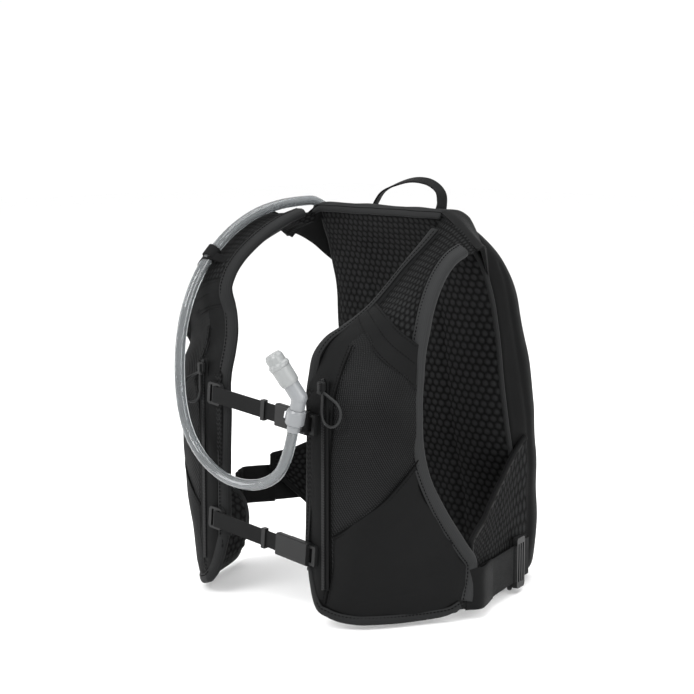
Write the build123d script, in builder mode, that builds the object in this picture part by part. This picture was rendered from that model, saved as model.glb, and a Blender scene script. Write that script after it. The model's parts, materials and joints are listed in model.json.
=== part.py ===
from build123d import *
import math
import os

# Running-style hydration pack, standing on its bag and on its two front panels.
# Millimetres. The wearer faces -Y, the wearer's left is +X, +Z is up, floor at Z = 0.

os.makedirs("parts", exist_ok=True)

# ---------------------------------------------------------------- driving sizes
GAP = 0.4                 # clearance between bodies that lie on each other
PAD = 9.0                 # thickness of the foam in the harness
HOSE_R = 5.25             # drinking hose, outside
CHEST_WEB = 16.0          # width of the chest straps
WEB_T = 1.6               # thickness of webbing
SIDE_WEB = 38.0           # width of the side straps
MIDDLE_Y = 31.0           # middle of the footprint, where the written origin is

RAIL_X = 66.5             # middle of the webbing rails on the front panels
RAIL_W = 12.0
RAIL_Y = -114.4           # front face of the rails
RAIL_T = 1.4
RAIL_LOW, RAIL_HIGH = 52.0, 226.0

ZIP_X = 85.0              # middle of the pocket zips
ZIP_W, ZIP_T = 6.0, 1.4
ZIP_Y = -116.6            # front face of the zip chain
ZIP_LOW, ZIP_HIGH = 38.0, 240.0

YOKE_TOP = 383.0          # outer face of the yoke between the shoulders
YOKE_T = 6.0

# ---------------------------------------------------------------- helpers


def save(part, name):
    """Write one piece about the middle of the footprint."""
    piece = part.part.moved(Location((0, -MIDDLE_Y, 0)))
    piece.label = name
    export_step(piece, f"parts/{name}.step")


def mirrored(part):
    """The same piece on the wearer's other side."""
    with BuildPart() as other:
        add(part.part.mirror(Plane.YZ))
    return other


def save_pair(part, name):
    save(part, f"left_{name}")
    save(mirrored(part), f"right_{name}")


def band_section(plane, outer, inner):
    """A face between a curve outside and a curve inside, joined by two straight edges."""
    with BuildSketch(plane) as section:
        with BuildLine():
            Spline(*outer)
            Line(outer[-1], inner[-1])
            Spline(*reversed(inner))
            Line(inner[0], outer[0])
        make_face()
    return section.sketch


def block(low, high, mode=Mode.ADD):
    """A box between two corners, inside the part that is being built."""
    size = [b - a for a, b in zip(low, high)]
    middle = tuple((a + b) / 2 for a, b in zip(low, high))
    with Locations(middle):
        Box(*size, mode=mode)


def mix(a, b, t):
    return a + (b - a) * t


def at_height(table, height, column):
    """Value of a column of a table of heights, read between its rows."""
    for low, high in zip(table, table[1:]):
        if height <= high[0]:
            share = (height - low[0]) / (high[0] - low[0])
            return mix(low[column], high[column], share)
    return table[-1][column]


# ---------------------------------------------------------------- harness
PANEL_EDGE = (50.0, -94.0)          # free edge beside the breastbone
PANEL_CORNER = (60.0, -108.0)       # where the front face begins
PANEL_ZIP = (ZIP_X, -113.0)
PANEL = [                           # height, bulge, armhole edge
    (20.0, (120.0, -86.0), (165.0, 2.0)),
    (55.0, (125.0, -88.0), (165.0, 10.0)),
    (80.0, (131.0, -90.0), (165.0, -8.0)),
    (115.0, (136.0, -94.0), (163.0, -34.0)),
    (150.0, (139.0, -97.0), (161.0, -54.0)),
    (185.0, (141.0, -98.0), (159.0, -61.0)),
    (204.0, (141.0, -98.0), (158.5, -61.0)),
    (222.0, (141.0, -98.0), (158.0, -61.0)),
]
FOOT = (0.0, (118.0, -84.0), (150.0, -34.0))
# Shoulder sections: neck edge, armhole edge and the way that the outer face looks.
LEFT_SHOULDER = [
    ((56, -88, 262), (153, -52, 264), (0.25, -0.95, 0.1)),
    ((66, -70, 280), (150, -42, 288), (0.3, -0.8, 0.5)),
    ((72, -42, 297), (147, -32, 308), (0.2, -0.7, 0.7)),
    ((76, -20, 317), (143, -16, 326), (0.1, -0.68, 0.75)),
    ((80, 2, 338), (140, 0, 339), (0.1, -0.66, 0.78)),
    ((84, 23, 360), (137, 20, 347), (0.3, -0.5, 0.85)),
    ((88, 42, 379), (133, 42, 351), (0.45, -0.1, 0.85)),
]
RIGHT_SHOULDER = [
    ((52, -91, 262), (156, -72, 258), (0.2, -0.98, 0.0)),
    ((60, -95, 288), (150, -82, 283), (0.1, -0.98, 0.15)),
    ((68, -95, 310), (146, -78, 305), (0.05, -0.85, 0.5)),
    ((73, -78, 332), (142, -62, 330), (0.0, -0.65, 0.75)),
    ((77, -49, 349), (139, -40, 350), (-0.05, -0.4, 0.9)),
    ((80, -16, 361), (137, -12, 364), (-0.08, -0.2, 0.97)),
    ((84, 14, 370), (135, 16, 366), (0.0, -0.1, 1.0)),
    ((88, 42, 379), (133, 42, 351), (0.45, -0.1, 0.85)),
]
PAD_FACES = (6.0, 6.0 + PAD)        # depth of the foam below the pocket's outer face
POCKET_FACES = (0.0, 4.6)
POCKET_HIGH = 222.0


def panel_outline(bulge, rim, inset):
    """Points of a panel section, moved in from the outer face by inset."""
    edge = (PANEL_EDGE[0] + 0.2 * inset, PANEL_EDGE[1] + 0.7 * inset)
    corner = (PANEL_CORNER[0] + 0.4 * inset, PANEL_CORNER[1] + 0.8 * inset)
    front = (PANEL_ZIP[0] + 0.2 * inset, PANEL_ZIP[1] + inset)
    side = (bulge[0] - 0.45 * inset, bulge[1] + 0.9 * inset)
    end = (rim[0] - 0.9 * inset, rim[1] - 0.1 * inset)
    return [edge, corner, front, side, end]


def foot_outline(inset):
    """The lower end of a panel, rounded at its breastbone side."""
    points = panel_outline(FOOT[1], FOOT[2], inset)
    start = (74.0 + 0.2 * inset, -104.0 + 0.9 * inset)
    ahead = (80.0 + 0.2 * inset, -105.0 + 0.9 * inset)
    return [start, ahead, (93.0 + 0.2 * inset, -104.0 + inset)] + points[3:]


def panel_sections(faces, rows):
    for height, bulge, rim in rows:
        outer = panel_outline(bulge, rim, faces[0])
        inner = panel_outline(bulge, rim, faces[1])
        yield band_section(Plane.XY.offset(height), outer, inner)


def shoulder_section(neck, arm, outward):
    """Section across a shoulder strap: a crowned band between its two edges."""
    along = Vector(*arm) - Vector(*neck)
    x_dir = along.normalized()
    out = Vector(*outward)
    out = (out - x_dir * out.dot(x_dir)).normalized()
    plane = Plane(origin=neck, x_dir=x_dir, z_dir=x_dir.cross(out * -1))
    steps = (0.0, 0.1, 0.4, 0.75, 1.0)
    crown = 0.09 * along.length
    rise = [4 * crown * step * (1 - step) for step in steps]
    outer = [(step * along.length, -up) for step, up in zip(steps, rise)]
    inner = [(step * along.length, PAD - up) for step, up in zip(steps, rise)]
    return band_section(plane, outer, inner)


def harness_pad(shoulder):
    """Foam and mesh of a front panel and its shoulder strap, as one curved pad."""
    foot = band_section(Plane.XY, foot_outline(PAD_FACES[0]), foot_outline(PAD_FACES[1]))
    sections = [foot] + list(panel_sections(PAD_FACES, PANEL))
    for neck, arm, outward in shoulder:
        sections.append(shoulder_section(neck, arm, outward))
    with BuildPart() as pad:
        loft(sections)
    return pad


save(harness_pad(LEFT_SHOULDER), "left_harness_pad")
save(mirrored(harness_pad(RIGHT_SHOULDER)), "right_harness_pad")

pocket_foot = band_section(
    Plane.XY.offset(3.0), foot_outline(POCKET_FACES[0]), foot_outline(POCKET_FACES[1])
)
above_pocket = (240.0,) + PANEL[-1][1:]
with BuildPart() as front_pocket:
    loft([pocket_foot] + list(panel_sections(POCKET_FACES, PANEL + [above_pocket])))
    block((0.0, -130.0, POCKET_HIGH), (200.0, 30.0, 260.0), mode=Mode.SUBTRACT)
save_pair(front_pocket, "front_pocket")

# ---------------------------------------------------------------- rails and zips
with BuildPart() as rail:
    block(
        (RAIL_X - RAIL_W / 2, RAIL_Y, RAIL_LOW),
        (RAIL_X + RAIL_W / 2, RAIL_Y + RAIL_T, RAIL_HIGH),
    )
save_pair(rail, "strap_rail")

with BuildPart() as pocket_zip:
    block(
        (ZIP_X - ZIP_W / 2, ZIP_Y, ZIP_LOW),
        (ZIP_X + ZIP_W / 2, ZIP_Y + ZIP_T, ZIP_HIGH),
    )
save_pair(pocket_zip, "pocket_zip")

SLIDER_Z = 230.0                    # where the closed slider stands
SLIDER_T = 3.0
slider_front = ZIP_Y - GAP - SLIDER_T


def zip_slider(plane):
    """Slider body with its bridge; plane lies on the chain, +X along the chain."""
    with BuildPart() as slider:
        with BuildSketch(plane):
            with BuildLine():
                outline = Polyline(
                    (-6, -2.2), (-2, -4.2), (5, -4.2), (6, -2.6),
                    (6, 2.6), (5, 4.2), (-2, 4.2), (-6, 2.2), close=True,
                )
            make_face()
        extrude(amount=SLIDER_T)
    return slider


pocket_plane = Plane(
    origin=(ZIP_X, ZIP_Y - GAP, SLIDER_Z), x_dir=(0, 0, 1), z_dir=(0, -1, 0)
)
save_pair(zip_slider(pocket_plane), "pocket_slider")

# A stiff cord loop hangs from each pocket slider, swung out towards the armhole.
PULL_R = 1.1
PULL_TOP, PULL_LOW, PULL_HALF = -7.5, -38.0, 8.0
PULL_SWING = 32.0
with BuildPart() as pull:
    with BuildLine() as loop:
        low = PULL_LOW + PULL_HALF
        arc = CenterArc((0, low, 0), PULL_HALF, 180, 180)
        Line((-PULL_HALF, low), (-1.6, PULL_TOP))
        Line((PULL_HALF, low), (1.6, PULL_TOP))
        Line((-1.6, PULL_TOP), (1.6, PULL_TOP))
    with BuildSketch(Plane(origin=arc @ 0.5, z_dir=arc % 0.5)):
        Circle(PULL_R)
    sweep(path=loop.wires()[0], transition=Transition.ROUND)
swing = math.radians(PULL_SWING)
pull_plane = Plane(
    origin=(ZIP_X, slider_front + PULL_R, SLIDER_Z),
    x_dir=(math.cos(swing), 0, math.sin(swing)), z_dir=(0, -1, 0),
)
with BuildPart() as pocket_pull:
    add(pull.part.moved(pull_plane.location))
save_pair(pocket_pull, "pocket_pull")

# ---------------------------------------------------------------- bag
BAG = [                   # height, half width, front face, rear face
    (0.0, 98.0, 134.0, 166.0),
    (22.0, 113.0, 136.0, 180.0),
    (88.0, 115.0, 133.0, 184.0),
    (158.0, 115.0, 117.0, 180.0),
    (210.0, 113.0, 109.0, 174.0),
    (262.0, 111.0, 103.0, 165.0),
    (303.0, 108.0, 96.0, 154.0),
    (337.0, 103.0, 84.0, 136.0),
    (362.0, 94.0, 68.0, 106.0),
    (375.0, 80.0, 57.0, 80.0),
]
BAG_WALL = 3.0
BACK_PANEL_T = 10.0


def bag_section(height, half, front, rear, inset):
    """Rounded outline of the bag at one height, moved in by inset."""
    depth = rear - front - inset
    with BuildSketch(Plane.XY.offset(height)) as section:
        with Locations((0, front + depth / 2)):
            Rectangle(2 * (half - inset), depth)
        corners = section.vertices().group_by(Axis.Y)
        fillet(corners[-1], min(38.0, 0.72 * depth) - inset)
        fillet(corners[0], 4.0)
    return section.sketch


port_at = Vector(-96.0, 86.0, 366.0)          # where the hose leaves the bag
hose_crest = Vector(-104.0, 64.5, 388.0)
port_way = hose_crest - port_at
port_plane = Plane(origin=port_at, z_dir=port_way)
PORT_R = 8.6

with BuildPart() as bag_shell:
    loft([bag_section(*row, 0.0) for row in BAG])
    cavity = [bag_section(row[0], row[1], row[2] - 6, row[3], BAG_WALL) for row in BAG[1:-1]]
    loft(cavity, mode=Mode.SUBTRACT)
    with Locations(port_plane):
        Cylinder(PORT_R + GAP, 80, mode=Mode.SUBTRACT)
save(bag_shell, "bag_shell")


def slab_section(row, ahead, thick, half):
    """Thin section that follows the bag's front face, ahead of it."""
    front = row[2] - ahead
    with BuildSketch(Plane.XY.offset(row[0])) as section:
        with Locations((0, front - thick / 2)):
            RectangleRounded(2 * half, thick, 0.45 * thick)
    return section.sketch


with BuildPart() as back_panel:
    panel_rows = [(9.0, 0.0, 134.8)] + BAG[1:-1] + [(374.0, 0.0, 59.0)]
    halves = [96.0] + [row[1] - 9.0 for row in BAG[1:-1]] + [82.0]
    loft([
        slab_section(row, 1.8, BACK_PANEL_T, half)
        for row, half in zip(panel_rows, halves)
    ])
save(back_panel, "back_panel")

# The yoke bridges the two shoulder straps over the top of the bag.
SHOULDER_X, SHOULDER_Z = 133.0, 350.0
YOKE_X = 84.0
with BuildPart() as yoke:
    with BuildSketch(Plane.XZ.offset(-72.0)):
        with BuildLine():
            Polyline(
                (-SHOULDER_X, SHOULDER_Z), (-YOKE_X, YOKE_TOP), (YOKE_X, YOKE_TOP),
                (SHOULDER_X, SHOULDER_Z), (SHOULDER_X - 4, SHOULDER_Z - 5),
                (YOKE_X - 2, YOKE_TOP - YOKE_T), (2 - YOKE_X, YOKE_TOP - YOKE_T),
                (4 - SHOULDER_X, SHOULDER_Z - 5), close=True,
            )
        make_face()
    extrude(amount=25.0)
save(yoke, "yoke")

# ---------------------------------------------------------------- water reservoir
def pouch_section(height, front, half, thick):
    with BuildSketch(Plane.XY.offset(height)) as section:
        with Locations((0, front + thick / 2)):
            RectangleRounded(2 * half, thick, 0.48 * thick)
    return section.sketch


with BuildPart() as reservoir:
    loft([
        pouch_section(32.0, 146.0, 56.0, 10.0),
        pouch_section(60.0, 143.0, 68.0, 26.0),
        pouch_section(160.0, 126.0, 70.0, 30.0),
        pouch_section(250.0, 113.0, 68.0, 22.0),
        pouch_section(300.0, 108.0, 66.0, 6.0),
    ])
save(reservoir, "reservoir")

with BuildPart() as closure:
    block((-72.0, 105.0, 300.4), (72.0, 115.0, 311.0))
    fillet(closure.edges().filter_by(Axis.X), 3.0)
save(closure, "reservoir_closure")

with BuildPart() as outlet:
    block((-93.0, 150.5, 47.0), (-69.5, 163.5, 60.6))
    fillet(outlet.edges().filter_by(Axis.X), 4.0)
save(outlet, "reservoir_outlet")


def tube_route(points, name):
    """Straight runs joined by tangent arcs, each as large as its runs allow."""
    radii = []
    for before, here, after in zip(points, points[1:], points[2:]):
        run_in = Vector(*here) - Vector(*before)
        run_out = Vector(*after) - Vector(*here)
        turn = math.radians(run_in.get_angle(run_out))
        radii.append(0.45 * min(run_in.length, run_out.length) / math.tan(turn / 2))
    with BuildLine() as route:
        FilletPolyline(*points, radius=radii)
    length = sum(edge.length for edge in route.edges())
    print(name, "length", round(length, 1), "radii", [round(r) for r in radii])
    return route


def tube(points, radius, name):
    route = tube_route(points, name)
    with BuildPart() as solid:
        with BuildLine() as path:
            add(route.line)
        with BuildSketch(Plane(origin=points[0], z_dir=Vector(*points[1]) - Vector(*points[0]))):
            Circle(radius)
        sweep(path=path.wires()[0])
    length = sum(edge.length for edge in route.edges())
    print("   volume", round(solid.part.volume), "of", round(math.pi * radius**2 * length))
    return solid


PORT_DEPTH = 9.0
port_foot = port_at - port_way.normalized() * PORT_DEPTH
inner_turn = port_foot - port_way.normalized() * 46
inner_end = port_foot - port_way.normalized() * 1
INNER_HOSE = [
    (-86.4, 157.0, 62.0), (-91.0, 156.0, 92.0), (-92.0, 149.0, 142.0),
    (-91.0, 141.0, 192.0), (-89.0, 133.0, 240.0), (-87.0, 126.5, 284.0),
    (inner_turn.X, inner_turn.Y, inner_turn.Z),
    (inner_end.X, inner_end.Y, inner_end.Z),
]
save(tube(INNER_HOSE, HOSE_R, "inner hose"), "inner_hose")

with BuildPart() as hose_port:
    with BuildSketch(port_plane.offset(-PORT_DEPTH)):
        Circle(PORT_R)
        Circle(HOSE_R + 0.3, mode=Mode.SUBTRACT)
    extrude(amount=PORT_DEPTH + 4.0)
save(hose_port, "hose_port")

# ---------------------------------------------------------------- hose
# From the port over the right shoulder, down the front and up to the bite valve.
VALVE_X, VALVE_Y, VALVE_Z = 68.0, -138.5, 190.0
HOSE = [
    (port_foot.X, port_foot.Y, port_foot.Z),
    (hose_crest.X, hose_crest.Y, hose_crest.Z),
    (-106.5, 37.0, 388.0),
    (-108.5, 4.0, 385.0),
    (-110.0, -30.0, 375.5),
    (-111.0, -64.0, 356.0),
    (-112.0, -97.0, 324.0),
    (-113.0, -118.0, 279.0),
    (-111.0, -126.0, 229.0),
    (-103.0, -128.5, 183.0),
    (-82.0, -129.5, 150.0),
    (-46.0, -131.0, 130.0),
    (-6.0, -134.0, 126.0),
    (33.0, -136.5, 135.0),
    (58.5, -138.0, 156.0),
    (VALVE_X, VALVE_Y, VALVE_Z),
]
save(tube(HOSE, HOSE_R, "hose"), "hose")

# Elastic keeper that holds the hose on the shoulder strap.
keeper_from, keeper_to = Vector(*HOSE[5]), Vector(*HOSE[6])
keeper_plane = Plane(origin=(keeper_from + keeper_to) * 0.5, z_dir=keeper_to - keeper_from)
with BuildPart() as hose_keeper:
    with BuildSketch(keeper_plane.offset(-6)):
        Circle(HOSE_R + 2.2)
        Circle(HOSE_R + 0.8, mode=Mode.SUBTRACT)
    extrude(amount=12.0)
save(hose_keeper, "hose_keeper")

# ---------------------------------------------------------------- bite valve
# Drawn on its own axis, which carries on the hose's last run.
valve_axis = Plane(
    origin=HOSE[-1], x_dir=(1, 0, -0.2), z_dir=Vector(*HOSE[-1]) - Vector(*HOSE[-2])
)
COLLAR_H = 22.0
STEM_R, STEM_BORE = 5.0, 5.05
BUTTON_TRAVEL = 1.2


def on_valve(part):
    with BuildPart() as placed:
        add(part.part.moved(valve_axis.location))
    return placed


with BuildPart() as valve_collar:
    with BuildSketch(Plane.XZ):
        with BuildLine():
            Polyline(
                (0, 0), (6.2, 0), (6.2, 5), (9.0, 8), (9.0, 20), (7.4, COLLAR_H),
                (0, COLLAR_H), close=True,
            )
        make_face()
    revolve(axis=Axis.Z)
    with Locations((0, 0, COLLAR_H - 5.0)):
        Cylinder(STEM_BORE, 10.1, mode=Mode.SUBTRACT)
    with Locations((-8.2, -3.0, 14.0)):
        Box(3.0, 6.0, 7.0, mode=Mode.SUBTRACT)
save(on_valve(valve_collar), "valve_collar")

with BuildPart() as valve_button:
    block((-9.6, -5.7, 10.8), (-6.7 - BUTTON_TRAVEL - 0.1, -0.3, 17.2))
save(on_valve(valve_button), "valve_button")

# The elbow turns in the collar; its mouthpiece leans to the wearer's right and forward.
LEAN = Vector(-0.565, -0.38, 0.73)
STEM_LOW = COLLAR_H - 9.6
bend_at = Vector(0, 0, COLLAR_H + 12.0)
with BuildPart() as valve_elbow:
    with BuildSketch(Plane.XY.offset(STEM_LOW)):
        Circle(STEM_R)
    extrude(amount=COLLAR_H + 4.0 - STEM_LOW)
    with BuildSketch(Plane.XY.offset(COLLAR_H + 0.4)):
        Circle(7.0)
    extrude(amount=11.6)
    with Locations(bend_at):
        Sphere(7.6)
    with BuildSketch(Plane(origin=bend_at, z_dir=LEAN)):
        Circle(7.6)
    extrude(amount=15.0)
save(on_valve(valve_elbow), "valve_elbow")

sheath_plane = Plane(origin=bend_at + LEAN.normalized() * 15.2, z_dir=LEAN)
with BuildPart() as bite_sheath:
    with BuildSketch(Plane.XZ):
        with BuildLine():
            Polyline(
                (0, 0), (8.6, 0), (9.2, 3), (9.4, 17), (10.2, 18.5), (10.2, 21), (8.8, 23),
                (8.8, 29), (7.2, 32), (0, 32), close=True,
            )
        make_face()
    revolve(axis=Axis.Z)
with BuildPart() as leaning_sheath:
    add(bite_sheath.part.moved(sheath_plane.location))
save(on_valve(leaning_sheath), "bite_sheath")

# ---------------------------------------------------------------- chest straps
# Each runs from the right rail to the left rail, a little lower at the left end.
STRAP_PLANE_Y = RAIL_Y - GAP
UPPER_STRAP = (207.0, 195.0)          # height at the right rail, at the left rail
LOWER_STRAP = (82.0, 70.0)
WEB_LOW = 4.8                         # inner face of the webbing, out from the rail
KEEPER_AT = 75.0
PLUG_AT, PLUG_L = 94.0, 16.0          # visible body of the plug
PRONG_L = 11.5
SOCKET_AT = PLUG_AT + PLUG_L + 0.4
SOCKET_L = 26.0
BUCKLE_HALF = 11.0


def strap_plane(heights):
    run = 2 * RAIL_X
    return Plane(
        origin=(-RAIL_X, STRAP_PLANE_Y, heights[0]),
        x_dir=(run, 0, heights[1] - heights[0]),
        z_dir=(0, -1, 0),
    )


def on_strap(part, heights):
    with BuildPart() as placed:
        add(part.part.moved(strap_plane(heights).location))
    return placed


with BuildPart() as rail_clip:
    block((-9.0, -11.0, 0.0), (10.0, 11.0, 4.4))
    fillet(rail_clip.edges().filter_by(Axis.Z), 4.0)
    block((-5.0, -8.6, -1.0), (-2.0, 8.6, 5.0), mode=Mode.SUBTRACT)
    block((4.0, -8.6, -1.0), (7.0, 8.6, 5.0), mode=Mode.SUBTRACT)

with BuildPart() as chest_webbing:
    block((1.0, -CHEST_WEB / 2, WEB_LOW), (PLUG_AT + 3.0, CHEST_WEB / 2, WEB_LOW + WEB_T))

with BuildPart() as strap_keeper:
    block((KEEPER_AT - 2.5, -10.0, WEB_LOW - 1.6), (KEEPER_AT + 2.5, 10.0, WEB_LOW + 3.2))
    block(
        (KEEPER_AT - 9.0, -8.4, WEB_LOW - 0.4), (KEEPER_AT + 9.0, 8.4, WEB_LOW + 2.0),
        mode=Mode.SUBTRACT,
    )

with BuildPart() as buckle_plug:
    block((PLUG_AT, -BUCKLE_HALF, 2.0), (PLUG_AT + PLUG_L, BUCKLE_HALF, 9.0))
    fillet(buckle_plug.edges().filter_by(Axis.X), 1.8)
    block(
        (PLUG_AT - 1.0, -8.4, WEB_LOW - 0.4), (PLUG_AT + PLUG_L - 0.8, 8.4, WEB_LOW + 2.0),
        mode=Mode.SUBTRACT,
    )
    for side in (-1, 1):
        block(
            (PLUG_AT + PLUG_L - 0.5, 7.2 * side - 1.5, 4.2),
            (PLUG_AT + PLUG_L + PRONG_L, 7.2 * side + 1.5, 7.0),
        )
    block((PLUG_AT + PLUG_L - 0.5, -1.2, 4.2), (PLUG_AT + PLUG_L + PRONG_L, 1.2, 7.0))

with BuildPart() as buckle_socket:
    block((SOCKET_AT, -BUCKLE_HALF, 1.0), (SOCKET_AT + SOCKET_L, BUCKLE_HALF, 9.6))
    fillet(buckle_socket.edges().filter_by(Axis.X), 2.2)
    block(
        (SOCKET_AT - 1.0, -9.2, 3.2), (SOCKET_AT + PRONG_L + 2.0, 9.2, 7.8), mode=Mode.SUBTRACT
    )
    block((SOCKET_AT + SOCKET_L - 0.2, -9.5, 0.4), (SOCKET_AT + SOCKET_L + 9.0, 9.5, 6.4))
    block(
        (SOCKET_AT + SOCKET_L + 1.0, -7.0, -1.0), (SOCKET_AT + SOCKET_L + 5.0, 7.0, 9.0),
        mode=Mode.SUBTRACT,
    )

for level, heights in (("upper", UPPER_STRAP), ("lower", LOWER_STRAP)):
    save(on_strap(rail_clip, heights), f"{level}_rail_clip")
    save(on_strap(chest_webbing, heights), f"{level}_chest_webbing")
    save(on_strap(strap_keeper, heights), f"{level}_strap_keeper")
    save(on_strap(buckle_plug, heights), f"{level}_buckle_plug")
    save(on_strap(buckle_socket, heights), f"{level}_buckle_socket")

# The disc that parks the valve on the upper buckle.
with BuildPart() as valve_magnet:
    with BuildSketch(Plane.XZ.offset(-STRAP_PLANE_Y + 9.6 + GAP)):
        with Locations((VALVE_X - 6.0, VALVE_Z + 4.0)):
            Circle(8.0)
    extrude(amount=3.8)
save(valve_magnet, "valve_magnet")

# ---------------------------------------------------------------- side fins and straps
with BuildPart() as side_fin:
    with BuildSketch(Plane.XY.offset(30.0)):
        with BuildLine():
            Spline((121.0, 127.0), (129.5, 88.0), (145.5, 40.0))
            Line((145.5, 40.0), (140.5, 39.0))
            Spline((140.5, 39.0), (124.5, 87.0), (117.0, 125.0))
            Line((117.0, 125.0), (121.0, 127.0))
        make_face()
    extrude(amount=140.0)
    with BuildSketch(Plane.YZ.offset(90.0)):
        with BuildLine():
            Polyline((30, 56), (30, 112), (60, 122), (128, 162), (128, 34), (60, 40), close=True)
        make_face()
    extrude(amount=80.0, mode=Mode.INTERSECT)
save_pair(side_fin, "side_fin")

LEFT_STRAP_LOW, RIGHT_STRAP_LOW = 12.0, 60.0
with BuildPart() as side_strap:
    with BuildSketch():
        with BuildLine():
            Spline((168.6, -8.0), (169.4, 13.0), (152.2, 46.0), (143.8, 74.0), (136.0, 100.0))
            Line((136.0, 100.0), (134.4, 99.6))
            Spline((134.4, 99.6), (142.2, 73.6), (150.6, 45.6), (167.8, 13.0), (167.0, -8.0))
            Line((167.0, -8.0), (168.6, -8.0))
        make_face()
    extrude(amount=SIDE_WEB)
with BuildPart() as left_strap:
    add(side_strap.part.moved(Location((0, 0, LEFT_STRAP_LOW))))
save(left_strap, "left_side_strap")
with BuildPart() as right_strap:
    add(side_strap.part.mirror(Plane.YZ).moved(Location((0, 0, RIGHT_STRAP_LOW))))
save(right_strap, "right_side_strap")

LOCK_AT = (129.5, 112.5)
with BuildPart() as ladder_lock:
    block((-9.5, -26.0, 0.0), (9.5, 26.0, 5.0))
    fillet(ladder_lock.edges().filter_by(Axis.Z), 3.0)
    for slot in (-5.4, 0.0, 5.4):
        block((slot - 1.5, -19.6, -1.0), (slot + 1.5, 19.6, 6.0), mode=Mode.SUBTRACT)
with BuildPart() as lock_tab:
    block((13.0, -19.0, -1.4), (30.0, 19.0, 0.4))
with BuildPart() as strap_tail:
    block((-14.0, -28.0, -4.2), (-2.0, -4.0, -2.6))
    fillet(strap_tail.edges().filter_by(Axis.Z).group_by(Axis.Y)[0], 5.0)


def on_lock(part, low):
    """Place a piece of the ladder lock beside the bag's lower corner."""
    plane = Plane(
        origin=(LOCK_AT[0], LOCK_AT[1], low + SIDE_WEB / 2),
        x_dir=(-0.28, 0.96, 0), z_dir=(0.96, 0.28, 0),
    )
    with BuildPart() as placed:
        add(part.part.moved(plane.location))
    return placed


for side, low in (("left", LEFT_STRAP_LOW), ("right", RIGHT_STRAP_LOW)):
    for piece, name in ((ladder_lock, "ladder_lock"), (lock_tab, "lock_tab"),
                        (strap_tail, "strap_tail")):
        placed = on_lock(piece, low)
        save(placed if side == "left" else mirrored(placed), f"{side}_{name}")

# ---------------------------------------------------------------- haul loop
LOOP_HALF, LOOP_TOP, LOOP_Y = 44.0, 411.0, 88.0
LOOP_PIVOT = 381.0
with BuildPart() as haul_loop:
    with BuildSketch(Plane.XZ.offset(-LOOP_Y - 7.0)):
        with BuildLine():
            Spline(
                (-LOOP_HALF, LOOP_PIVOT), (-0.72 * LOOP_HALF, LOOP_TOP - 9), (0, LOOP_TOP),
                (0.8 * LOOP_HALF, LOOP_TOP - 8), (LOOP_HALF, LOOP_PIVOT),
            )
            Line((LOOP_HALF, LOOP_PIVOT), (LOOP_HALF - 2, LOOP_PIVOT))
            Spline(
                (LOOP_HALF - 2, LOOP_PIVOT), (0.8 * LOOP_HALF - 1.4, LOOP_TOP - 9.6),
                (0, LOOP_TOP - 2), (1.2 - 0.72 * LOOP_HALF, LOOP_TOP - 10.6),
                (2 - LOOP_HALF, LOOP_PIVOT),
            )
            Line((2 - LOOP_HALF, LOOP_PIVOT), (-LOOP_HALF, LOOP_PIVOT))
        make_face()
    extrude(amount=14.0)
    with BuildSketch(Plane.YZ.offset(-60.0)):
        with BuildLine():
            Polyline(
                (LOOP_Y - 2.5, LOOP_PIVOT), (LOOP_Y - 7, LOOP_PIVOT + 12), (LOOP_Y - 7, 420),
                (LOOP_Y + 7, 420), (LOOP_Y + 7, LOOP_PIVOT + 12), (LOOP_Y + 2.5, LOOP_PIVOT),
                close=True,
            )
        make_face()
    extrude(amount=120.0, mode=Mode.INTERSECT)
    for side in (-1, 1):
        with Locations(Location(((LOOP_HALF - 1) * side, LOOP_Y, LOOP_PIVOT), (0, 90, 0))):
            Cylinder(3.2, 4.0)
save(haul_loop, "haul_loop")

# ---------------------------------------------------------------- zip and pocket at the back
BACK_ZIP_Z = 296.0
BACK_ZIP_HALF = 66.0
back_plane = Plane(
    origin=(0, at_height(BAG, BACK_ZIP_Z, 3) + 2.0, BACK_ZIP_Z),
    x_dir=(1, 0, 0), z_dir=(0, 0.966, 0.259),
)
with BuildPart() as main_zip:
    with BuildSketch(back_plane):
        Rectangle(2 * BACK_ZIP_HALF, 7.0)
    extrude(amount=1.4)
save(main_zip, "main_zip")
slide_plane = back_plane.offset(1.4 + GAP)
right_slide = Plane(
    origin=slide_plane.from_local_coords((-7.5, 0, 0)), x_dir=(-1, 0, 0), z_dir=slide_plane.z_dir
)
left_slide = Plane(
    origin=slide_plane.from_local_coords((7.5, 0, 0)), x_dir=(1, 0, 0), z_dir=slide_plane.z_dir
)
save(zip_slider(left_slide), "main_slider_left")
save(zip_slider(right_slide), "main_slider_right")

with BuildPart() as rear_pocket:
    loft([slab_section((row[0], 0, row[3] + 5.6), 0.0, 4.6, 68.0) for row in BAG])
    block((-80.0, 140.0, 26.0), (80.0, 200.0, 222.0), mode=Mode.INTERSECT)
save(rear_pocket, "rear_pocket")
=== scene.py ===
import json
import math

import bpy
import numpy as np
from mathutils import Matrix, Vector, noise


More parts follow.
